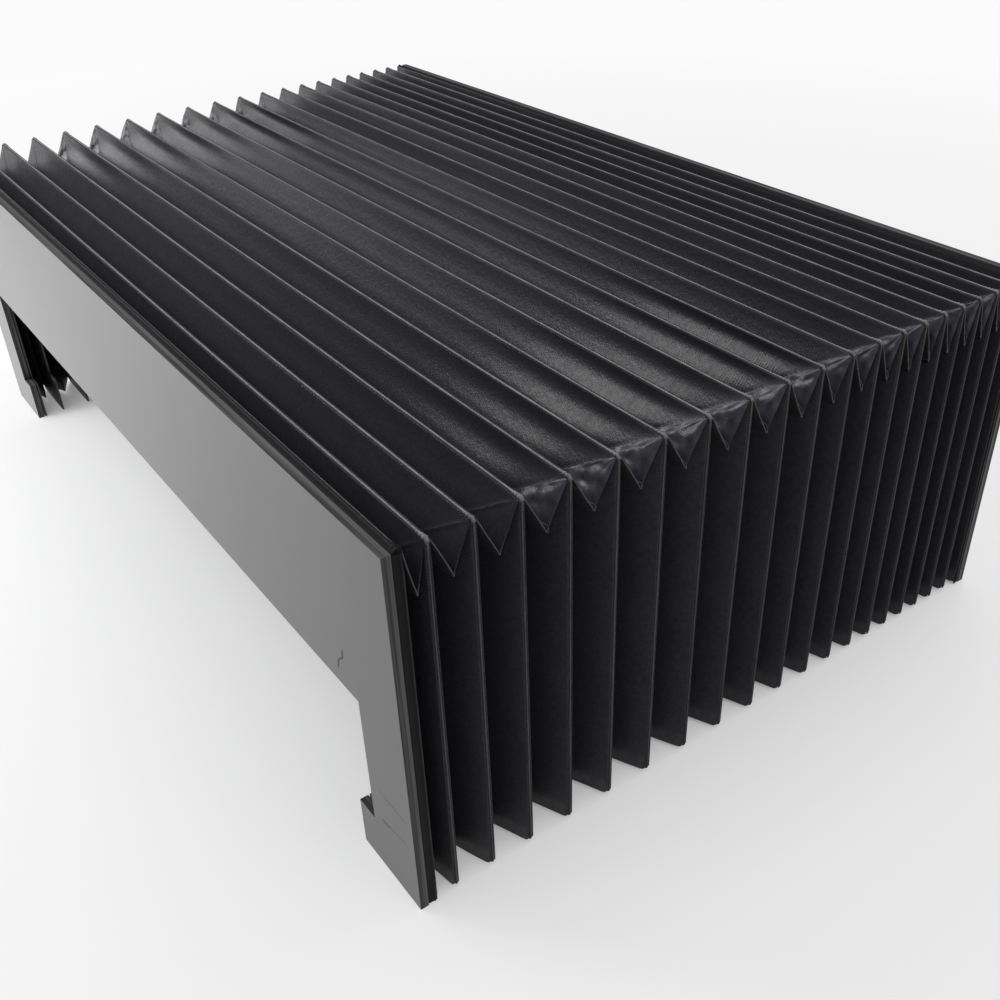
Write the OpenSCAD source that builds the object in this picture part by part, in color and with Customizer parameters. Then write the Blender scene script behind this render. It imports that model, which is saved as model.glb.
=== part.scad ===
// Bellows way cover: a folded cloth tunnel over a machine's guideways, with an inverted-U
// stiffener in every fold and a sheet plate on each end. It stands on the feet of its end plates.
// X runs across the tunnel, Y along the travel from front to rear, and Z is up.

/* [End plates] */
// Width across the legs of the end plates
plate_w = 500; // [420:5:600]
// Height of the end plates
plate_h = 160; // [140:5:200]
// Thickness of the outer sheet plate at each end
plate_t = 2; // [1.5:0.1:3]
// Depth of the crosspiece over the tunnel
bar_h = 78; // [60:1:85]
// Width of each leg
leg_w = 29; // [27:1:36]
// Length of each foot, from the outside of its leg
foot_w = 40; // [38:1:60]
// Height of each foot
foot_h = 23; // [16:1:30]

/* [Cloth clamps] */
// Thickness of the spacer frame behind each plate
spacer_t = 1.5; // [1:0.1:3]
// Thickness of the clamp frame that holds the cloth's edge
clamp_t = 1; // [0.8:0.1:2]
// Width of the cloth's edge that is held under the clamp
flange_w = 18; // [12:1:20]

/* [Folds] */
// Number of fold peaks between the end plates
peaks = 19; // [19]
// Spacing of the closest peaks, at the rear
pitch_min = 10.2; // [9:0.1:12]
// How much wider the most open folds are spaced
pitch_spread = 10.2; // [0:0.1:14]
// The fold at which the cover is most open, counted from the front
widest_fold = 6.5; // [4:0.5:12]
// How many folds either way the opening dies away over
spread_folds = 6.5; // [5:0.5:12]
// Spacing of the folds that are held at the end plates
end_pitch = 9.6; // [9:0.1:14]
// Length of cloth from a peak to the next valley
slant = 20; // [18:0.5:26]
// Thickness of the coated cloth
cloth_t = 0.6; // [0.4:0.05:0.7]
// Width of the pressed flat along each peak
peak_flat = 1.8; // [1.6:0.1:2.2]
// Height of the cloth's lower edge above the floor
cloth_bottom = 2; // [1:0.5:6]
// Cut corner at the lower end of each peak
tip_cut = 2; // [1:0.5:6]

/* [Support frames] */
// Thickness of the stiffener in each peak
frame_t = 1; // [0.6:0.1:1]
// Height of the stiffeners' feet above the floor
frame_lift = 1; // [0.5:0.5:2]

/* [Hidden] */
half_w = plate_w / 2;
cloth_clear = 0.3;
// A stiffener's lower corner stays just inside the cloth's cut tip
frame_cut = cloth_bottom + tip_cut - frame_lift - cloth_clear;
// Planes along the travel, counted back from the front face of the front plate
spacer_y = plate_t;
flange_y = spacer_y + spacer_t;
clamp_y = flange_y + cloth_t;
stack_t = clamp_y + clamp_t;
clamp_inset = cloth_t + cloth_clear;

// Fold lines 0 and peaks + 1 lie at the clamps, and lines 1 to peaks are the free peaks
function open_pitch(k) = pitch_min + pitch_spread * exp(-pow((k - widest_fold) / spread_folds, 2));
function pitch(k) = k == 1 || k == peaks + 1 ? end_pitch : open_pitch(k);
edge_gap = peak_flat / 2 + cloth_clear;
function line_y(k) = k == 0 ? stack_t + edge_gap : line_y(k - 1) + pitch(k);
cover_l = line_y(peaks + 1) + edge_gap + stack_t;
// The origin is on the floor, midway between the two end faces
mid_y = cover_l / 2;

function valley_y(k) = (line_y(k - 1) + line_y(k)) / 2;
function run(k) = (line_y(k) - line_y(k - 1) - peak_flat) / 2;
function depth(k) = sqrt(slant * slant - run(k) * run(k));
depth_max = max([for (k = [1 : peaks + 1]) depth(k)]);

// The cloth's section along the travel, as points [y, height above the peaks], from edge to edge
cloth_line = concat(
    [[flange_y + cloth_t / 2, -flange_w], [flange_y + cloth_t / 2, 0], [line_y(0) + peak_flat / 2, 0]],
    [for (k = [1 : peaks]) each [
        [valley_y(k), -depth(k)],
        [line_y(k) - peak_flat / 2, 0],
        [line_y(k) + peak_flat / 2, 0]]],
    [[valley_y(peaks + 1), -depth(peaks + 1)], [line_y(peaks + 1) - peak_flat / 2, 0],
     [cover_l - flange_y - cloth_t / 2, 0], [cover_l - flange_y - cloth_t / 2, -flange_w]]);

function frame_name(k) = str("support_frame_", k < 10 ? "0" : "", k);
function unit(v) = v / norm(v);
function left_of(v) = [-v[1], v[0]];

// A point of a line moved sideways by s, on the mitre of the two stretches that meet there
function side_point(line, i, s) =
    let(
        last = len(line) - 1,
        before = unit(i == 0 ? line[1] - line[0] : line[i] - line[i - 1]),
        after = unit(i == last ? line[last] - line[last - 1] : line[i + 1] - line[i]),
        mitre = unit(left_of(before) + left_of(after)))
    line[i] + mitre * s / (mitre * left_of(after));

// A strip of even thickness along a line
module strip(line, thickness) {
    polygon(concat(
        [for (i = [0 : len(line) - 1]) side_point(line, i, thickness / 2)],
        [for (i = [len(line) - 1 : -1 : 0]) side_point(line, i, -thickness / 2)]));
}

// An inverted U with inward feet, t thick, standing across the travel y behind the front face,
// inset from the plates' outline, lifted off the floor, and with its lower outer corners cut
module u_frame(y, t, inset = 0, lift = 0, cut = 0) {
    out_x = half_w - inset;
    top_z = plate_h - inset;
    in_x = half_w - leg_w;
    foot_x = half_w - foot_w;
    heel = cut > 0 ? [[out_x, lift + cut], [out_x - cut, lift]] : [[out_x, lift]];
    right = concat([[out_x, top_z]], heel,
        [[foot_x, lift], [foot_x, foot_h], [in_x, foot_h], [in_x, plate_h - bar_h]]);
    left = [for (i = [len(right) - 1 : -1 : 0]) [-right[i][0], right[i][1]]];
    translate([0, y + t - mid_y, 0])
        rotate([90, 0, 0])
            linear_extrude(t)
                polygon(concat(right, left));
}

module front_end_plate() {
    color([0.56, 0.57, 0.58]) u_frame(0, plate_t);
}

module front_spacer_frame() {
    color([0.4, 0.4, 0.41]) u_frame(spacer_y, spacer_t);
}

module front_clamp_frame() {
    color([0.36, 0.36, 0.37]) u_frame(clamp_y, clamp_t, clamp_inset);
}

module rear_clamp_frame() {
    color([0.36, 0.36, 0.37]) u_frame(cover_l - stack_t, clamp_t, clamp_inset);
}

module rear_spacer_frame() {
    color([0.4, 0.4, 0.41]) u_frame(cover_l - flange_y, spacer_t);
}

module rear_end_plate() {
    color([0.56, 0.57, 0.58]) u_frame(cover_l - plate_t, plate_t);
}

// A stiffener is bonded inside the flat of its peak
module support_frame(k) {
    color([0.2, 0.2, 0.21]) u_frame(line_y(k) - frame_t / 2, frame_t, cloth_t, frame_lift, frame_cut);
}

// The pleats over the top run straight out to both sides
module top_pleats() {
    translate([-half_w, -mid_y, plate_h - cloth_t / 2])
        rotate([90, 0, 90])
            linear_extrude(plate_w)
                strip(cloth_line, cloth_t);
}

// The pleats of the right side, tucked up under the top along the corner's mitre
module side_pleats() {
    reach = max(depth_max, flange_w) + 2 * cloth_t;
    intersection() {
        translate([half_w - cloth_t / 2, -mid_y, cloth_bottom])
            rotate([0, 0, -90])
                mirror([1, 0, 0])
                    linear_extrude(plate_h - cloth_bottom)
                        strip(cloth_line, cloth_t);
        translate([0, mid_y, 0])
            rotate([90, 0, 0])
                linear_extrude(cover_l)
                    polygon([[half_w - reach, cloth_bottom], [half_w - tip_cut, cloth_bottom],
                        [half_w, cloth_bottom + tip_cut], [half_w, plate_h - cloth_t / 2],
                        [half_w - reach, plate_h - cloth_t / 2 - reach]]);
    }
}

module bellows_cloth() {
    color([0.1, 0.1, 0.11])
        union() {
            top_pleats();
            side_pleats();
            mirror([1, 0, 0]) side_pleats();
        }
}

front_end_plate();
front_spacer_frame();
front_clamp_frame();
bellows_cloth();
for (k = [1 : peaks]) support_frame(k);
rear_clamp_frame();
rear_spacer_frame();
rear_end_plate();
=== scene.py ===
"""Looks of the bellows way cover: cloth pleats with tucked corners, fold edges lighter by wear and by painted
light, and grey end plates.
"""
import math

import bpy
import numpy as np
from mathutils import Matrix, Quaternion, Vector


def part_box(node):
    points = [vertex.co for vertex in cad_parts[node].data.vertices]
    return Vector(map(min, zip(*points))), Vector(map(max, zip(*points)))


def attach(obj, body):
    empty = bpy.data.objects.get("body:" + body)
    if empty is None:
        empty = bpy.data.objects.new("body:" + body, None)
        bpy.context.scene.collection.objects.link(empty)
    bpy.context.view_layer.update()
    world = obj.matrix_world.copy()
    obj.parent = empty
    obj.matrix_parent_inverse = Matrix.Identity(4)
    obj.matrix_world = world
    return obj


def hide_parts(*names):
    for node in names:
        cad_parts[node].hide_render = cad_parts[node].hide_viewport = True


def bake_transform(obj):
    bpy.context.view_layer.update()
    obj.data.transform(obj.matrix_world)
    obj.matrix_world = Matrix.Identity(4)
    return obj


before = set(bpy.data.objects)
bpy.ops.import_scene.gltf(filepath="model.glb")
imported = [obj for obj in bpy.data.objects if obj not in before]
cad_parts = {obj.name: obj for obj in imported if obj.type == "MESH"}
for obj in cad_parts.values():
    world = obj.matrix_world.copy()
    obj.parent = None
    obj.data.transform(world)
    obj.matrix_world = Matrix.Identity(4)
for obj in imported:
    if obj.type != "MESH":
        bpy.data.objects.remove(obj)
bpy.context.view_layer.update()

# Sizes in metres
MM = 0.001
SLANT = 20 * MM          # cloth from a peak to the next valley
PEAK_FLAT = 1.8 * MM     # pressed flat along each peak
CREST = 0.42 * MM        # half the width of the light line along each peak, rubbed and with a painted highlight
CLOTH_T = 0.5 * MM
EDGE_GAP = 1.2 * MM      # from a clamp frame to the cloth's first fold line
CLOTH_BOTTOM = 1.5 * MM  # height of the cloth's lower edge at the peaks
HANG = 1 * MM            # how much higher the lower edge is in the valleys
TIP_ROUND = 2 * MM       # rounded lower end of each peak
TUCK_GAP = 0.8 * MM      # between a top panel and the corner folded under it
RIDGE = 0.25 * MM        # height of the crease round a soft corner
RIDGE_W = 1.1 * MM       # half its width
CREASE_SLOPE = 1.42      # the crease runs this much further inward than down its panel
PRESS_FADE = 15 * MM     # from the crease inward, over which the pressed folds grow steep
PRESS_START = 130 * MM   # from the sides inward, where the pressing of the pleats' ends begins
PRESS_FULL = 30 * MM     # and where it is full
CALM = 0.22              # how much the pleats are pressed elsewhere
OPEN_FOLDS = 8           # on the closer folds behind these, the flatter part lies higher
RIB_PITCH = 1.25 * MM
SMOOTH_FOLDS = 3         # the folds next to the front plate, whose corners are still smooth
PRESSED = {4: 0.9, 5: 0.85, 6: 0.95, 7: 1.1, 8: 0.8, 9: 0.95, 10: 1.15}  # the folds whose ends lie flatter
SEED = 11

# The light lines along the folds, lighter by wear and by painted light, in metres
RIM_RADIUS = 0.28 * MM     # round the V at each end of a pleat
CREASE_RADIUS = 0.1 * MM   # along the crease of a soft corner, where it is thinnest
TIP_RADIUS = 0.15 * MM     # along the second fold at the tip of the V
TIP_SHARE = 0.12           # share of the V's depth that its rounded tip takes
CORNER_TURN = 1.0 * MM     # radius of a peak's line where it turns from the side to the top
NUB_LENGTH = 8 * MM        # crushed part of a peak's line on either side of the corner
NUB_STEP = 0.25 * MM
NUB_REACH = 4.2 * MM       # over which the crushing dies away
NUB_BULGE = 0.5 * MM       # how much the crushing widens the line
NUB_RISE = 0.6 * MM        # and how much it raises it
CREST_SEAT = 0.2 * MM      # the line's lowest height over the cloth's middle

# Marks on the front plate, as start and end in the plane of its face, and width in millimetres
PLATE_MARKS = {
    "scribed_line_upper": ((0.2267, 0.0439), (0.2461, 0.0433), 0.4),
    "scribed_line_lower": ((0.2270, 0.0280), (0.2447, 0.0306), 0.35),
    "scribed_line_start": ((0.2270, 0.0280), (0.2333, 0.0284), 0.9),
    "plate_nick_upper": ((0.2141, 0.1006), (0.2130, 0.0958), 1.3),
    "plate_nick_middle": ((0.2134, 0.0966), (0.2096, 0.0930), 0.8),
    "plate_nick_lower": ((0.2098, 0.0936), (0.2086, 0.0886), 1.2),
}

# The photograph's camera, in metres and degrees
CAMERA_EYE = Vector((0.4841, -0.2752, 0.3540))
CAMERA_AIM = Vector((-0.6852, 0.4660, -0.5598))
CAMERA_ROLL = -2.37
FOCAL_PX = 1133
IMAGE_PX = 1000
SENSOR_MM = 36

# The stage, in metres
FLOOR_HALF = 6.0
FLOOR_NEAR, FLOOR_FAR = 0.25, 1.1     # distances between which the floor pales
PALE_NEAR, PALE_FAR = 0.61, 0.94      # share of plain white in it there
SHADE_REACH = 0.3                     # how far the cover shades the floor beneath it
SHADED, UNSHADED = 0.1, 0.4           # open share of the sky, in full shade and past it
LAMP_AIM = (0, 0, 0.08)

# The frame's own places
PEAKS = sum(1 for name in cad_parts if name.startswith("support_frame_"))
cloth_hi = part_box("bellows_cloth")[1]
HALF_W = cloth_hi.x - CLOTH_T / 2
TOP_Z = cloth_hi.z - CLOTH_T / 2


def frame_name(k):
    return f"support_frame_{k:02d}"


def body_name(k):
    """The body that carries fold line k, counted from the front plate."""
    if k == 0:
        return "front_end"
    return "rear_end" if k == PEAKS + 1 else f"frame_{k:02d}"


def fold_line(k):
    """Where fold line k lies along the travel."""
    if k == 0:
        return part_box("front_clamp_frame")[1].y + EDGE_GAP
    if k == PEAKS + 1:
        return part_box("rear_clamp_frame")[0].y - EDGE_GAP
    lo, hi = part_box(frame_name(k))
    return (lo.y + hi.y) / 2


LINES = [fold_line(k) for k in range(PEAKS + 2)]


# Materials

NOISE_WIDE = (0.3, 0.7)    # nearly the whole span of a noise
NOISE_CORE = (0.35, 0.65)  # its middle, for more contrast
FACING = (0.55, 0.97)      # parts of a normal between which a face turns towards an axis


class Shader:
    """A material's nodes, made by short calls."""

    def __init__(self, name):
        self.material = bpy.data.materials.new(name)
        self.material.use_nodes = True
        self.nodes = self.material.node_tree.nodes
        self.links = self.material.node_tree.links
        self.surface = self.nodes["Principled BSDF"]

    def connect(self, value, socket):
        """Link a socket to another one, or give it a constant."""
        if isinstance(value, bpy.types.NodeSocket):
            self.links.new(value, socket)
        else:
            socket.default_value = value

    def add(self, kind, inputs=None, **settings):
        node = self.nodes.new(kind)
        for key, value in settings.items():
            setattr(node, key, value)
        for key, value in (inputs or {}).items():
            self.connect(value, node.inputs[key])
        return node

    def place(self):
        return self.add("ShaderNodeTexCoord").outputs["Object"]

    def normal(self, kind):
        return self.add("ShaderNodeNewGeometry").outputs[kind]

    def split(self, vector):
        return self.add("ShaderNodeSeparateXYZ", {"Vector": vector}).outputs

    def math(self, operation, *values):
        return self.add("ShaderNodeMath", dict(enumerate(values)), operation=operation).outputs[0]

    def blend(self, first, share, second):
        """The given share of the first value, with the rest from the second."""
        return self.math("ADD", self.math("MULTIPLY", first, share), self.math("MULTIPLY", second, 1 - share))

    def noise(self, vector, scale, detail=3.0, rough=0.55):
        inputs = {"Vector": vector, "Scale": scale, "Detail": detail, "Roughness": rough}
        return self.add("ShaderNodeTexNoise", inputs).outputs["Fac"]

    def ribs(self, along):
        return self.math("SINE", self.math("MULTIPLY", along, 2 * math.pi / RIB_PITCH))

    def ramp(self, value, low, high, from_low=0.0, from_high=1.0):
        inputs = {"Value": value, "From Min": from_low, "From Max": from_high, "To Min": low, "To Max": high}
        return self.add("ShaderNodeMapRange", inputs).outputs["Result"]

    def mix(self, share, first, second):
        node = self.add("ShaderNodeMix", data_type="RGBA")
        colours = {6: first, 7: second}
        for index, colour in colours.items():
            if not isinstance(colour, bpy.types.NodeSocket):
                colour = (*colour, 1)
            self.connect(colour, node.inputs[index])
        self.links.new(share, node.inputs[0])
        return node.outputs[2]

    def bump(self, height, strength, distance):
        inputs = {"Height": height, "Strength": strength, "Distance": distance}
        normal = self.add("ShaderNodeBump", inputs).outputs["Normal"]
        self.links.new(normal, self.surface.inputs["Normal"])

    def frayed(self):
        """Coarse and fine noise of rubbed cloth, of which the fine one is raised a little."""
        place = self.place()
        fibre = self.noise(place, scale=150, detail=5, rough=0.7)
        fleck = self.noise(place, scale=1300, detail=2)
        self.bump(fleck, strength=0.35, distance=0.15 * MM)
        return fibre, fleck

    def set(self, **values):
        for key, value in values.items():
            self.connect(value, self.surface.inputs[key.replace("_", " ")])
        return self.material


def coated_cloth(name, dark, light, rough, relief, gloss, rib=1.0, crumple=0.0):
    """Black coated cloth, with fine ribs from peak to valley and a patchy dull sheen.

    Its least and greatest roughness are given by rough. It is crumpled where crumple is above 0, and then has
    painted highlights where the crumples rise.
    """
    rib_tone, rib_height, mottle_height = 0.06, 0.4, 2
    s = Shader(name)
    place = s.add("ShaderNodeUVMap", uv_map="cloth").outputs["UV"]
    patches = s.noise(place, scale=55, detail=5, rough=0.62)
    mottle = s.noise(place, scale=420, detail=3)
    weave = s.noise(place, scale=1500, detail=2)
    worn = s.blend(patches, 0.5, mottle)
    ribs = s.math("MULTIPLY", s.ribs(s.split(place)["X"]), s.ramp(patches, 0.1 * rib, rib, *NOISE_CORE))
    tone = s.math("ADD", s.ramp(worn, 0, 0.9, *NOISE_WIDE), s.math("MULTIPLY", ribs, rib_tone))
    grain = s.math("ADD", s.math("MULTIPLY", mottle, mottle_height), weave)
    height = s.math("ADD", s.math("MULTIPLY", ribs, rib_height), grain)
    if crumple:
        folds = s.noise(place, scale=115, detail=1)
        height = s.math("ADD", height, s.math("MULTIPLY", folds, crumple))
        # painted highlight: the crumpled cloth is lighter where its crumples rise
        tone = s.math("ADD", s.math("MULTIPLY", tone, 0.5), s.ramp(folds, 0, 0.6, 0.47, 0.66))
    s.bump(height, strength=0.6, distance=relief)
    least, greatest = rough
    return s.set(Base_Color=s.mix(tone, dark, light), Roughness=s.ramp(worn, greatest, least, *NOISE_WIDE),
                 Specular_IOR_Level=gloss, Sheen_Weight=0.1 * gloss, Sheen_Roughness=0.5)


def worn_and_lit_edge(name, dark, light, side_wear_and_light, gloss=0.5):
    """Rubbed cloth along a fold, with painted light: lighter where it faces up, less so down the sides, and
    painted shade on its flanks.
    """
    s = Shader(name)
    normal = s.split(s.normal("Normal"))
    # painted light: the colour is lightest where the normal faces up and dimmer where it faces the sides, as
    # if lit from above
    up = s.ramp(normal["Z"], 0, 1, *FACING)
    aside = s.ramp(s.math("ABSOLUTE", normal["X"]), 0, side_wear_and_light, *FACING)
    fibre, fleck = s.frayed()
    rubbed = s.ramp(s.blend(fibre, 0.6, fleck), 0.55, 1.15, *NOISE_CORE)
    wear_and_light = s.math("MULTIPLY", s.math("MAXIMUM", up, aside), rubbed)
    return s.set(Base_Color=s.mix(wear_and_light, dark, light), Roughness=s.ramp(fibre, 0.42, 0.65),
                 Specular_IOR_Level=gloss)


def rubbed_and_lit_crest():
    """Cloth rubbed light along a peak, with a painted highlight: a thin line, beaded by the cloth's ribs, and
    dimmer down the sides as painted shade.
    """
    s = Shader("rubbed_and_lit_crest")
    spot = s.split(s.add("ShaderNodeUVMap", uv_map="edge").outputs["UV"])
    # partly wear, partly a painted highlight: the colour is light only along the middle of the crest
    line = s.ramp(s.math("ABSOLUTE", spot["Y"]), 1, 0, 0.5, 1.15)
    # painted shade: the crest is darker where it runs down the sides, which face away from the light
    level = s.ramp(s.split(s.normal("True Normal"))["Z"], 0.5, 1, 0.15, 0.7)
    bead = s.math("MULTIPLY", s.ribs(spot["X"]), 0.13)
    fibre, fleck = s.frayed()
    rubbed = s.math("ADD", s.ramp(s.blend(fibre, 0.7, fleck), 0.5, 1.1, *NOISE_CORE), bead)
    wear_and_light = s.math("MULTIPLY", s.math("MULTIPLY", line, level), rubbed)
    colour = s.mix(wear_and_light, (0.01, 0.01, 0.011), (0.32, 0.32, 0.324))
    return s.set(Base_Color=colour, Roughness=s.ramp(fibre, 0.5, 0.7), Specular_IOR_Level=0.25)


def layers(s, place):
    """Fine dark and light layers along a cut edge, across the sheet's thickness."""
    drawn = s.add("ShaderNodeMapping", {"Vector": place, "Scale": (14, 1500, 14)}).outputs["Vector"]
    return s.ramp(s.noise(drawn, scale=1, detail=3, rough=0.6), 0, 1, 0.36, 0.64)


def grey_sheet():
    """Satin grey sheet, with dark layered cut edges."""
    s = Shader("grey_sheet")
    place = s.place()
    flat = s.math("ABSOLUTE", s.split(s.normal("True Normal"))["Y"])
    cloud = s.noise(place, scale=9, detail=5, rough=0.6)
    grain = s.noise(place, scale=1800, detail=2)
    face = s.mix(s.blend(cloud, 0.7, grain), (0.168, 0.1665, 0.17), (0.22, 0.218, 0.22))
    cut = s.mix(layers(s, place), (0.03, 0.03, 0.031), (0.12, 0.12, 0.12))
    colour = s.mix(s.ramp(flat, 0, 1, 0.6, 0.9), cut, face)
    s.bump(grain, strength=0.12, distance=0.1 * MM)
    return s.set(Base_Color=colour, Roughness=s.ramp(cloud, 0.44, 0.58), Specular_IOR_Level=0.15)


def dark_sheet(name, dark, light):
    """Dull plastic sheet for the frames that hold the cloth."""
    s = Shader(name)
    place = s.place()
    cloud = s.noise(place, scale=40, detail=4)
    grain = s.noise(place, scale=1500, detail=2)
    tone = s.blend(layers(s, place), 0.75, grain)
    s.bump(grain, strength=0.2, distance=0.1 * MM)
    return s.set(Base_Color=s.mix(tone, dark, light), Roughness=s.ramp(cloud, 0.45, 0.6))


def dark_mark():
    """A scratch or nick, with dirt in it."""
    s = Shader("dark_mark")
    dirt = s.noise(s.place(), scale=700, detail=3)
    return s.set(Base_Color=s.mix(dirt, (0.02, 0.02, 0.02), (0.09, 0.09, 0.09)), Roughness=0.7)


CLOTH = coated_cloth("coated_cloth", (0.018, 0.0174, 0.0216), (0.0445, 0.0432, 0.053),
                     rough=(0.25, 0.44), relief=0.12 * MM, gloss=0.45)
# its light colour serves as painted highlights on the crumpled corners
CREASED = coated_cloth("creased_cloth", (0.021, 0.0204, 0.0252), (0.11, 0.107, 0.13),
                       rough=(0.24, 0.42), relief=0.1 * MM, gloss=0.6, rib=0.3, crumple=36)
SIDE = coated_cloth("side_cloth", (0.018, 0.0175, 0.0216), (0.042, 0.0408, 0.05),
                    rough=(0.45, 0.65), relief=0.12 * MM, gloss=0.25)
# painted shade: the cloth folded under the top panels is darker than the rest, where shade falls beneath them
SHADED_TUCK = coated_cloth("tucked_cloth", (0.007, 0.0068, 0.0084), (0.014, 0.0136, 0.0168),
                    rough=(0.5, 0.7), relief=0.08 * MM, gloss=0.25)
HEM = worn_and_lit_edge("cloth_hem", (0.006, 0.006, 0.0065), (0.014, 0.014, 0.0145), side_wear_and_light=0.5, gloss=0.12)
EDGE = rubbed_and_lit_crest()
FOLD_EDGE = worn_and_lit_edge("worn_and_lit_fold", (0.03, 0.03, 0.031), (0.1, 0.1, 0.101), side_wear_and_light=0.75)
SOFT_CREASE = worn_and_lit_edge("soft_crease", (0.02, 0.02, 0.021), (0.06, 0.06, 0.061), side_wear_and_light=0.6)
SHEET = grey_sheet()
SPACER = dark_sheet("spacer_sheet", (0.035, 0.035, 0.036), (0.15, 0.15, 0.15))
CLAMP = dark_sheet("clamp_sheet", (0.03, 0.03, 0.031), (0.09, 0.09, 0.09))
STIFFENER = dark_sheet("stiffener_sheet", (0.03, 0.03, 0.031), (0.06, 0.06, 0.06))
MARK = dark_mark()


# Meshes

def add_mesh(name, points, faces, materials):
    mesh = bpy.data.meshes.new(name)
    mesh.from_pydata([tuple(p) for p in points], [], faces)
    for material in materials:
        mesh.materials.append(material)
    piece = bpy.data.objects.new(name, mesh)
    bpy.context.scene.collection.objects.link(piece)
    return piece


def grid_faces(rows, columns):
    """Quads of a grid of points stored row by row."""
    return [(r * columns + c, r * columns + c + 1, (r + 1) * columns + c + 1, (r + 1) * columns + c)
            for r in range(rows - 1) for c in range(columns - 1)]


def smooth_noise(rng, count, size, knots=9):
    """Soft random values along a line."""
    values = rng.uniform(-size, size, knots)
    return np.interp(np.linspace(0, knots - 1, count), np.arange(knots), values)


def ease(share):
    """A soft step from 0 to 1."""
    share = min(1.0, max(0.0, share))
    return share ** 2 * (3 - 2 * share)


def lay_out(piece, name, places):
    """Give each point of a piece its place on the flat cloth."""
    layer = piece.data.uv_layers.new(name=name)
    for loop in piece.data.loops:
        layer.data[loop.index].uv = places[loop.vertex_index]


def soften(piece, angle):
    """Smooth shading, with sharp folds kept."""
    for polygon in piece.data.polygons:
        polygon.use_smooth = True
    piece.data.set_sharp_from_angle(angle=math.radians(angle))


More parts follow.
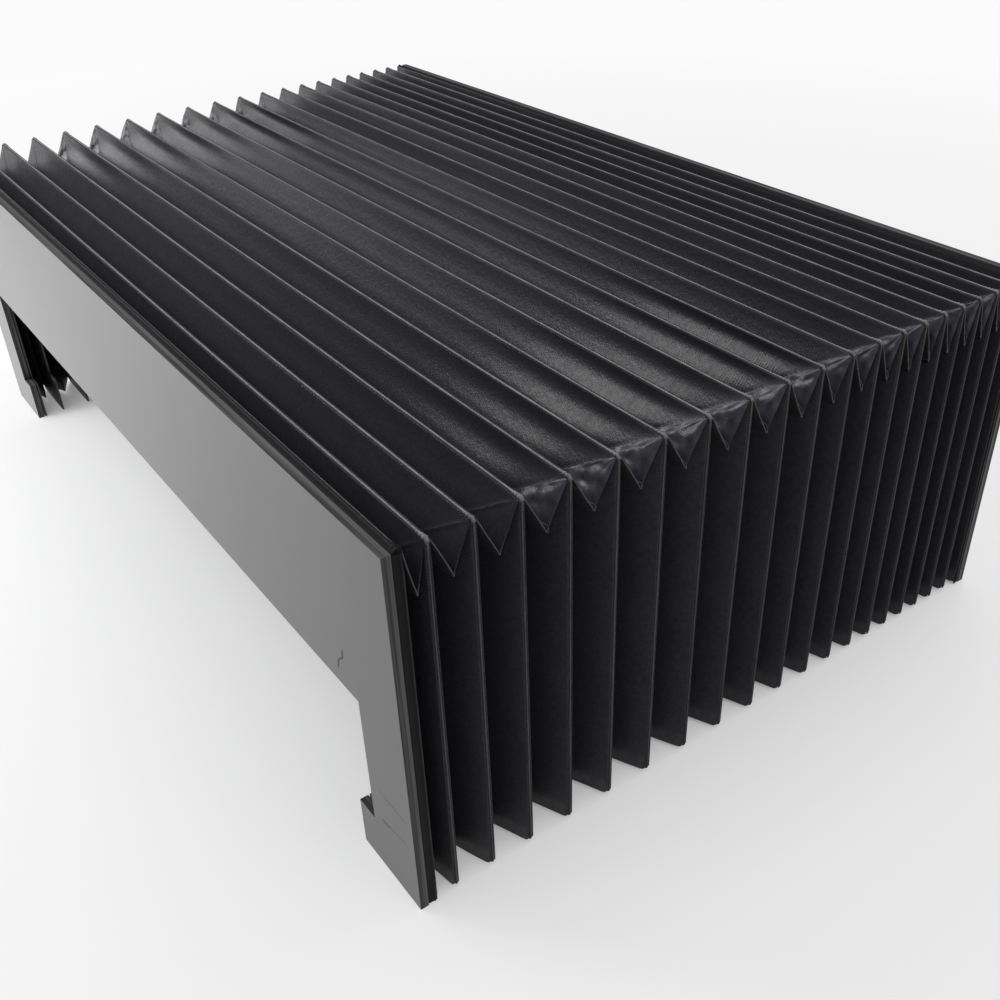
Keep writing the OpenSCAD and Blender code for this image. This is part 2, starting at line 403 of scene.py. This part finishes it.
class Fold:
    """One pleat of cloth, from fold line k - 1 over a valley to fold line k.

    A place on it is given by half, -1 on the front panel and 1 on the rear one, and by deep, from 0 at the
    peak to 1 in the valley.
    """

    PANEL_ROWS = 17
    TIP_ROWS = (0, 0.015, 0.04, 0.075)
    PANEL_START = 0.12       # where the even rows begin
    SIDE_STEPS = 20
    TUCK_STEPS = 5
    FACET_STEPS = 16
    TOP_STEPS = 50
    TOP, TUCKED, CORNER, SIDES = range(4)  # places of the materials on the mesh
    TILT = 0.04              # how far a corner's facet stands out towards its edge, on an open fold
    OPEN_RUN = 9.2 * MM      # half the length of an open fold
    RAISED = 0.12            # how much higher the flatter part lies on the closer folds
    BESIDE_CREASE = np.array([0.5, 1.1, 1.9, 3.2, 5.0]) * MM
    WAVE = 0.2 * MM          # height of the slow wave along a top panel
    WAVE_REACH = 0.07        # its length over two pi
    TUCK_START = 0.8         # share of a side panel's height above which it draws inward
    CRINKLES = 6             # small creases in a soft corner
    CRINKLE_WIDTH = 0.12     # as a share of the facet
    HOLLOW = 0.45            # share of the creases that are hollow
    CURL_WIDTH = 0.16        # of the curled edge, as a share of the facet

    def __init__(self, k, rng):
        self.k = k
        self.front = LINES[k - 1] + PEAK_FLAT / 2
        self.rear = LINES[k] - PEAK_FLAT / 2
        self.middle = (self.front + self.rear) / 2
        self.run = (self.rear - self.front) / 2
        self.depth = math.sqrt(SLANT ** 2 - self.run ** 2)
        self.tilt = self.TILT * self.run / self.OPEN_RUN
        self.smooth = k <= SMOOTH_FOLDS
        self.press = PRESSED.get(k, CALM)
        self.raised = self.RAISED if k > OPEN_FOLDS else 0
        self.bow = rng.uniform(-0.3, 0.3) * MM
        self.phase = rng.uniform(0, 2 * math.pi)
        self.crinkles = rng.uniform(0, 1, (self.CRINKLES, 4))
        self.crinkle_size = self.soft_size(rng, 0.03, (0.2, 0.4))
        self.swell = self.soft_size(rng, 0.1, (0.6, 1.2))
        self.curl = self.soft_size(rng, 0.05, (0.3, 0.7))
        self.parting = rng.uniform(0.8, 1.6) * MM
        self.parting_start = rng.uniform(0.55, 0.75)

    def soft_size(self, rng, smooth, soft):
        """A size of the corner's softness in metres: fixed on a smooth fold, and else drawn from a range."""
        return (smooth if self.smooth else rng.uniform(*soft)) * MM

    def rows(self):
        """All places across the pleat, from the front peak over the valley to the rear peak."""
        even = np.linspace(self.PANEL_START, 1, self.PANEL_ROWS - len(self.TIP_ROWS))
        deep = np.concatenate([self.TIP_ROWS, even])
        return [(-1, d) for d in deep] + [(1, d) for d in deep[-2::-1]]

    def crease_x(self, deep):
        """Where the stiffened part of the panel ends, and the soft corner begins."""
        return HALF_W - CREASE_SLOPE * SLANT * deep

    def share(self, half, deep, x, on_side):
        """Place along the travel, from -1 at the front peak to 1 at the rear one.

        Over the top, the cloth hangs steeply from its pressed peaks and lies flatter between them.
        """
        inside = ease((self.crease_x(deep) - abs(x)) / PRESS_FADE)
        near_end = ease((PRESS_START - HALF_W + abs(x)) / (PRESS_START - PRESS_FULL))
        press = 0 if on_side else inside * (CALM + (self.press - CALM) * near_end)
        level = deep + self.raised * math.sin(math.pi * deep)
        bend = deep - press * math.sin(2 * math.pi * level) / (2 * math.pi)
        return half * (1 - bend)

    def place(self, half, deep, x, z, lift, on_side):
        """A point of the cloth, lifted square to its panel."""
        lift += self.bow * math.sin(math.pi * deep)
        forward = -half * self.depth / SLANT * lift
        outward = self.run / SLANT * lift
        y = self.middle + self.share(half, deep, x, on_side) * self.run + forward
        if on_side:
            return (x + math.copysign(outward, x), y, z)
        return (x, y, z + outward)

    def rim(self, side, half, deep):
        """A point on the V at one end of the pleat, where the corner is folded under the top panel."""
        sink = self.depth * deep
        return self.place(half, deep, side * HALF_W, TOP_Z - sink, self.tilt * sink, False)

    def crease(self, distance, deep):
        """Height of the crease at a distance from the edge of the stiffened part."""
        return RIDGE * math.exp(-(distance / RIDGE_W) ** 2) * min(1, 5 * deep)

    def softness(self, side, half, across, deep):
        """The soft corner's shape: a swelling, a curl along its edge, and small creases in it."""
        height = 0.0
        for a, b, c, d in self.crinkles:
            angle = math.pi * (a + 0.31 * side + 0.17 * half)
            off = (across - b) * math.cos(angle) + (deep - c) * math.sin(angle)
            height += (1 if d > self.HOLLOW else -1) * math.exp(-(off / self.CRINKLE_WIDTH) ** 2)
        fade = math.sin(math.pi * across) * min(1, 4 * deep) * min(1, 4 * (1 - deep))
        swell = self.swell * math.sin(math.pi * across ** 1.2) * math.sin(math.pi * deep)
        near_edge = across / self.CURL_WIDTH
        curl = self.curl * near_edge * math.exp(1 - near_edge) * math.sin(math.pi * deep)
        return swell + curl + self.crinkle_size * height * fade

    def corner(self, side, half, deep):
        """One corner's section, from the lower edge up to the crease.

        Its points are given as [x, z, lift, whether on the side panel].
        """
        sink = self.depth * deep
        short = max(0.0, TIP_ROUND - sink)
        low = CLOTH_BOTTOM + HANG * deep + TIP_ROUND - math.sqrt(TIP_ROUND ** 2 - short ** 2)
        mitre_x, mitre_z = HALF_W - sink, TOP_Z - sink
        gap = TUCK_GAP * min(1, 4 * deep)
        stand = self.tilt * sink
        points = []
        for t in np.linspace(0, 1, self.SIDE_STEPS):
            tuck = gap * max(0, (t - self.TUCK_START) / (1 - self.TUCK_START))
            points.append((mitre_x, low + (mitre_z - low) * t - tuck, 0, True))
        for t in np.linspace(0, 1, self.TUCK_STEPS)[1:-1]:
            points.append((mitre_x + sink * t, mitre_z, stand * t - gap * (1 - t ** 4), False))
        width = HALF_W - self.crease_x(deep)
        for t in np.linspace(0, 1, self.FACET_STEPS) ** 0.8:
            lift = stand * (1 - t) + self.crease(width * (1 - t), deep) + self.softness(side, half, t, deep)
            points.append((HALF_W - width * t, mitre_z, lift, False))
        return [(side * x, z, lift, on_side) for x, z, lift, on_side in points]

    def section(self, half, deep):
        """The pleat's whole section at one place, from the right side over the top to the left side."""
        sink = self.depth * deep
        start = self.crease_x(deep)
        beside = [(start - d, self.crease(d, deep)) for d in self.BESIDE_CREASE]
        inner = start - self.BESIDE_CREASE[-1]
        across = np.linspace(inner, -inner, self.TOP_STEPS)[1:-1]
        wave = self.WAVE * np.sin(across / self.WAVE_REACH + self.phase) * math.sin(math.pi * deep)
        right = [(x, TOP_Z - sink, lift, False) for x, lift in beside]
        top = [(x, TOP_Z - sink, lift, False) for x, lift in zip(across, wave)]
        left = [(-x, z, lift, on_side) for x, z, lift, on_side in reversed(right)]
        return self.corner(1, half, deep) + right + top + left + self.corner(-1, half, deep)[::-1]

    def face_materials(self, columns):
        """The material of each column of faces: the top, the tucks, the creased corners and the sides."""
        kinds = np.full(columns - 1, self.TOP)
        kinds[:self.SIDE_STEPS - 1] = self.SIDES
        tuck = slice(self.SIDE_STEPS - 1, self.SIDE_STEPS + self.TUCK_STEPS - 2)
        facet = slice(tuck.stop, tuck.stop + self.FACET_STEPS)
        kinds[tuck] = self.TUCKED
        kinds[facet] = self.TOP if self.smooth else self.CORNER
        return np.where(kinds != self.TOP, kinds, kinds[::-1])

    def build(self):
        points, places = [], []
        rows = self.rows()
        lip = PEAK_FLAT / 2 - CREST
        for i, (half, deep) in enumerate(rows):
            section = self.section(half, deep)
            line = [self.place(half, deep, *point) for point in section]
            steps = [math.hypot(b[0] - a[0], b[1] - a[1]) for a, b in zip(section, section[1:])]
            length = np.concatenate([[0], np.cumsum(steps)])
            place = [(d, half * (1 - deep) * SLANT) for d in length - length[-1] / 2]
            if i == 0:
                points += [(x, y - lip, z) for x, y, z in line]
                places += [(u, v - lip) for u, v in place]
            points += line
            places += place
        points += [(x, y + lip, z) for x, y, z in line]
        places += [(u, v + lip) for u, v in place]
        columns = len(section)
        piece = add_mesh(f"cloth_fold_{self.k:02d}", points, grid_faces(len(rows) + 2, columns),
                         [CLOTH, SHADED_TUCK, CREASED, SIDE])
        kinds = self.face_materials(columns)
        for polygon in piece.data.polygons:
            polygon.material_index = int(kinds[polygon.index % (columns - 1)])
        lay_out(piece, "cloth", places)
        soften(piece, 35)
        return piece


def tube(points, radii, sides=6):
    """Points and quads of a thin tube along a line."""
    rings, faces = [], []
    line = [Vector(p) for p in points]
    for i, (p, radius) in enumerate(zip(line, radii)):
        ahead = (line[min(i + 1, len(line) - 1)] - line[max(i - 1, 0)]).normalized()
        across = ahead.cross(Vector((1, 0, 0))).normalized()
        outward = across.cross(ahead)
        rings += [p + float(radius) * (math.cos(a) * across + math.sin(a) * outward)
                  for a in np.linspace(0, 2 * math.pi, sides, endpoint=False)]
    for i in range(len(line) - 1):
        for j in range(sides):
            n = (j + 1) % sides
            faces.append((i * sides + j, i * sides + n, (i + 1) * sides + n, (i + 1) * sides + j))
    return rings, faces


def corner_edges(fold):
    """The light edges of a pleat's soft corners, rubbed and with painted light: a V down each side, and the
    crease on the rear panel.
    """
    points, faces, kinds = [], [], []
    for side in (1, -1):
        lines = [(*rounded_v(fold, side), 0), (*crease_line(fold, side), 1)]
        if not fold.smooth:
            lines.append((*tip_fold(fold, side), 0))
        for line, radii, kind in lines:
            ring, quads = tube(line, radii)
            faces += [tuple(i + len(points) for i in quad) for quad in quads]
            kinds += [kind] * len(quads)
            points += ring
    piece = add_mesh(f"corner_edge_{fold.k:02d}", points, faces, [FOLD_EDGE, SOFT_CREASE])
    for polygon, kind in zip(piece.data.polygons, kinds):
        polygon.material_index = kind
    soften(piece, 60)
    return piece


def rounded_v(fold, side):
    """The light edge down the V's front leg, rubbed and with painted light, round its tip and, fading, up its
    rear leg.
    """
    deeps = np.linspace(0, 1 - TIP_SHARE, 16)
    front = [fold.rim(side, -1, deep) for deep in deeps]
    rear = [fold.rim(side, 1, deep) for deep in deeps[::-1]]
    start, end = Vector(front[-1]), Vector(rear[0])
    drop = 0.6 * TIP_SHARE * fold.depth
    tip = [start.lerp(end, t) - Vector((0, 0, drop * math.sin(math.pi * t))) for t in (0.2, 0.4, 0.6, 0.8)]
    fading = [(0.1 + 0.16 * deep ** 2) * MM for deep in deeps[::-1]]
    return front + tip + rear, [RIM_RADIUS] * (len(front) + len(tip)) + fading


def crease_line(fold, side):
    """The crease between the stiffened rear panel and its soft corner."""
    deeps = np.linspace(0.06, 1, 14)
    line = [fold.place(1, deep, side * fold.crease_x(deep), TOP_Z - fold.depth * deep,
                       fold.crease(0, deep) + CREASE_RADIUS, False) for deep in deeps]
    return line, [CREASE_RADIUS * (1 + math.sin(math.pi * deep)) for deep in deeps]


def tip_fold(fold, side):
    """A second small fold beside the tip of the V, where the cloth's layers part."""
    line = []
    for t in np.linspace(0, 1, 9):
        deep = fold.parting_start + (1 - fold.parting_start) * t
        x, y, z = fold.rim(side, -1, deep)
        line.append((x, y + fold.parting * math.sin(math.pi * t) ** 0.8, z))
    return line, [TIP_RADIUS] * len(line)


def edge_path(whole):
    """The line of a peak over both sides and the top.

    Its points are given as [x, z, outward x, outward z, distance to the corner]. Its lower ends are rounded
    as the cloth is, unless it is whole.
    """
    past_nub = NUB_LENGTH + CORNER_TURN
    whole_bottom = 0.6 * MM
    nub = np.arange(0.0, NUB_LENGTH, NUB_STEP)
    side = np.linspace(CLOTH_BOTTOM + TIP_ROUND, TOP_Z - past_nub, 40)
    top = np.linspace(HALF_W - past_nub, -(HALF_W - past_nub), 90)
    ends = [(math.cos(a), math.sin(a)) for a in np.radians(np.linspace(-86, -8, 8))]
    turns = [(math.cos(a), math.sin(a)) for a in np.radians(np.linspace(15, 75, 5))]
    tip = [(HALF_W + TIP_ROUND * (c - 1), CLOTH_BOTTOM + TIP_ROUND * (1 + s), c, s) for c, s in ends]
    right = [(HALF_W, whole_bottom, 1, 0)] if whole else tip
    right += [(HALF_W, z, 1, 0) for z in side]
    right += [(HALF_W, TOP_Z - CORNER_TURN - d, 1, 0) for d in nub[::-1]]
    right += [(HALF_W - CORNER_TURN * (1 - c), TOP_Z - CORNER_TURN * (1 - s), c, s) for c, s in turns]
    right += [(HALF_W - CORNER_TURN - d, TOP_Z, 0, 1) for d in nub]
    over = [(x, TOP_Z, 0, 1) for x in top]
    left = [(-x, z, -ox, oz) for x, z, ox, oz in reversed(right)]
    path = np.array(right + over + left)
    corner = np.hypot(np.abs(path[:, 0]) - HALF_W, path[:, 1] - TOP_Z)
    return np.column_stack([path, corner])


def peak_edge(k, rng):
    """The light crest of one peak, rubbed and with a painted highlight: a thin low ridge that swells into a
    crushed nub at each corner.
    """
    at_clamp = k in (0, PEAKS + 1)
    path = edge_path(whole=at_clamp)
    count = len(path)
    wobble = smooth_noise(rng, count, 0.16 * MM)
    thin = 1 + smooth_noise(rng, count, 0.2)
    beat = rng.uniform(1.5, 2.1) * MM
    across = np.linspace(-1, 1, 13)
    along = np.concatenate([[0], np.cumsum(np.hypot(*np.diff(path[:, :2], axis=0).T))])
    points, places = [], []
    for i, (x, z, ox, oz, corner) in enumerate(path):
        on_top = oz > 0.2
        near = math.exp(-(corner / NUB_REACH) ** 2) * (1 if on_top else 0.3)
        knot = near * abs(math.sin(math.pi * corner / beat))
        taper = 1 + 0.8 * min(0, oz)
        half = (PEAK_FLAT / 2 + 0.1 * MM + NUB_BULGE * knot) * taper
        crest = CREST * (1 if on_top else 0.75) * thin[i] * (1 + 0.3 * near) + NUB_BULGE * knot
        rise = (0.4 if on_top else 0.5) * MM + NUB_RISE * knot
        for t in across:
            out = taper * rise * math.exp(-(t * half / crest) ** 2) + CREST_SEAT
            points.append((x + ox * out, LINES[k] + wobble[i] + t * half, z + oz * out))
            places.append((along[i], t * half / crest))
    material = HEM if at_clamp else EDGE
    piece = add_mesh(f"peak_edge_{k:02d}", points, grid_faces(count, len(across)), [material])
    lay_out(piece, "edge", places)
    soften(piece, 60)
    return piece


def cloth_hem(k):
    """The cloth between an end plate's spacer and the first fold line, over the clamp."""
    end = "front" if k == 0 else "rear"
    inside = 1 if k == 0 else 0
    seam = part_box(f"{end}_spacer_frame")[inside].y
    path = edge_path(whole=True)
    shares = ((0.02, -0.35 * MM), (0.1, 0.05 * MM), (0.25, 0.16 * MM), (1.0, 0.16 * MM))
    points = [(x + ox * out, seam + (LINES[k] - seam) * share, z + oz * out)
              for x, z, ox, oz, _ in path for share, out in shares]
    piece = add_mesh(f"cloth_hem_{end}", points, grid_faces(len(path), len(shares)), [HEM])
    soften(piece, 60)
    return piece


def make_cloth():
    rng = np.random.default_rng(SEED)
    for k in range(1, PEAKS + 2):
        fold = Fold(k, rng)
        sheet = fold.build()
        solid = sheet.modifiers.new("thickness", "SOLIDIFY")
        solid.thickness = CLOTH_T
        solid.offset = 0
        corners = corner_edges(fold)
        for piece in (sheet, corners):
            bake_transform(piece)
        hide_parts("bellows_cloth")
    for k in range(PEAKS + 2):
        edge = peak_edge(k, rng)
        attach(edge, body_name(k))
    for k in (0, PEAKS + 1):
        hem = cloth_hem(k)
        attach(hem, body_name(k))


# The end plates and frames

def dress(node, material, bevel):
    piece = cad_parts[node]
    piece.data.materials.clear()
    piece.data.materials.append(material)
    soft = piece.modifiers.new("edge", "BEVEL")
    soft.width = bevel
    soft.segments = 2


def dress_frames():
    for end in ("front", "rear"):
        dress(f"{end}_end_plate", SHEET, bevel=0.25 * MM)
        dress(f"{end}_spacer_frame", SPACER, bevel=0.2 * MM)
        dress(f"{end}_clamp_frame", CLAMP, bevel=0.15 * MM)
    for k in range(1, PEAKS + 1):
        dress(frame_name(k), STIFFENER, bevel=0.15 * MM)


def scribed_line(name, start, end, width):
    """A scratch on the front plate's face, from start to end in its plane."""
    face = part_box("front_end_plate")[0].y - 0.02 * MM
    a, b = Vector(start), Vector(end)
    across = (b - a).orthogonal().normalized()
    shares = np.linspace(0, 1, 13)
    points = []
    for t in shares:
        half = across * width / 2 * (0.25 + 0.75 * math.sin(math.pi * t) ** 0.5)
        for p in (a.lerp(b, t) - half, a.lerp(b, t) + half):
            points.append((p.x, face, p.y))
    piece = add_mesh(name, points, grid_faces(len(shares), 2), [MARK])
    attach(piece, "front_end")


def plate_marks():
    for name, (start, end, width_mm) in PLATE_MARKS.items():
        scribed_line(name, start, end, width_mm * MM)


# The stage

def make_floor():
    """A pale floor that keeps the cover's shadow and whitens with the distance from it."""
    corners = [(-1, -1), (1, -1), (1, 1), (-1, 1)]
    floor = add_mesh("floor", [(FLOOR_HALF * x, FLOOR_HALF * y, 0) for x, y in corners], [(0, 1, 2, 3)], [])
    s = Shader("pale_floor")
    place = s.place()
    tone = s.noise(place, scale=2.5, detail=2)
    s.set(Base_Color=s.mix(tone, (0.86, 0.86, 0.86), (0.89, 0.89, 0.89)), Roughness=0.9)
    ray = s.add("ShaderNodeLightPath").outputs
    mirrored = s.math("MAXIMUM", ray["Is Glossy Ray"], ray["Is Transmission Ray"])
    seen = s.math("MAXIMUM", ray["Is Camera Ray"], mirrored)
    glow = s.add("ShaderNodeEmission", {"Color": (1, 1, 1, 1), "Strength": 1.0})
    away = s.add("ShaderNodeVectorMath", {0: place}, operation="LENGTH").outputs["Value"]
    share = s.math("MULTIPLY", seen, s.ramp(away, PALE_NEAR, PALE_FAR, FLOOR_NEAR, FLOOR_FAR))
    open_share = s.add("ShaderNodeAmbientOcclusion", {"Distance": SHADE_REACH}, samples=4).outputs["AO"]
    share = s.math("MULTIPLY", share, s.ramp(open_share, 0.3, 1, SHADED, UNSHADED))
    both = s.add("ShaderNodeMixShader", {0: share, 1: s.surface.outputs[0], 2: glow.outputs[0]})
    s.links.new(both.outputs[0], s.nodes["Material Output"].inputs["Surface"])
    floor.data.materials.append(s.material)


def area_lamp(name, place, size, watts):
    lamp = bpy.data.lights.new(name, "AREA")
    lamp.size = size
    lamp.energy = watts
    holder = bpy.data.objects.new(name, lamp)
    holder.location = place
    holder.rotation_euler = (Vector(LAMP_AIM) - Vector(place)).to_track_quat("-Z", "Y").to_euler()
    bpy.context.scene.collection.objects.link(holder)


def make_light():
    world = bpy.data.worlds.new("studio")
    world.use_nodes = True
    sky = world.node_tree.nodes["Background"].inputs
    sky["Color"].default_value = (0.96, 0.98, 1.0, 1)
    sky["Strength"].default_value = 0.2
    bpy.context.scene.world = world
    area_lamp("key", (-0.62, -0.6, 0.88), size=0.6, watts=5.2)
    area_lamp("window", (-1.05, -0.3, 0.32), size=0.35, watts=1.0)
    area_lamp("front", (-0.3, -0.55, 0.1), size=0.16, watts=2.4)
    area_lamp("overhead", (0.0, 0.5, 1.9), size=1.4, watts=16)


def make_camera():
    camera = bpy.data.cameras.new("camera")
    camera.sensor_width = SENSOR_MM
    camera.lens = FOCAL_PX / IMAGE_PX * SENSOR_MM
    camera.clip_start = 0.01
    holder = bpy.data.objects.new("camera", camera)
    level = CAMERA_AIM.to_track_quat("-Z", "Y")
    roll = Quaternion(CAMERA_AIM.normalized(), math.radians(-CAMERA_ROLL))
    holder.location = CAMERA_EYE
    holder.rotation_euler = (roll @ level).to_euler()
    bpy.context.scene.collection.objects.link(holder)
    bpy.context.scene.camera = holder


make_cloth()
dress_frames()
plate_marks()
make_floor()
make_light()
make_camera()
bpy.context.scene.view_settings.view_transform = "Standard"
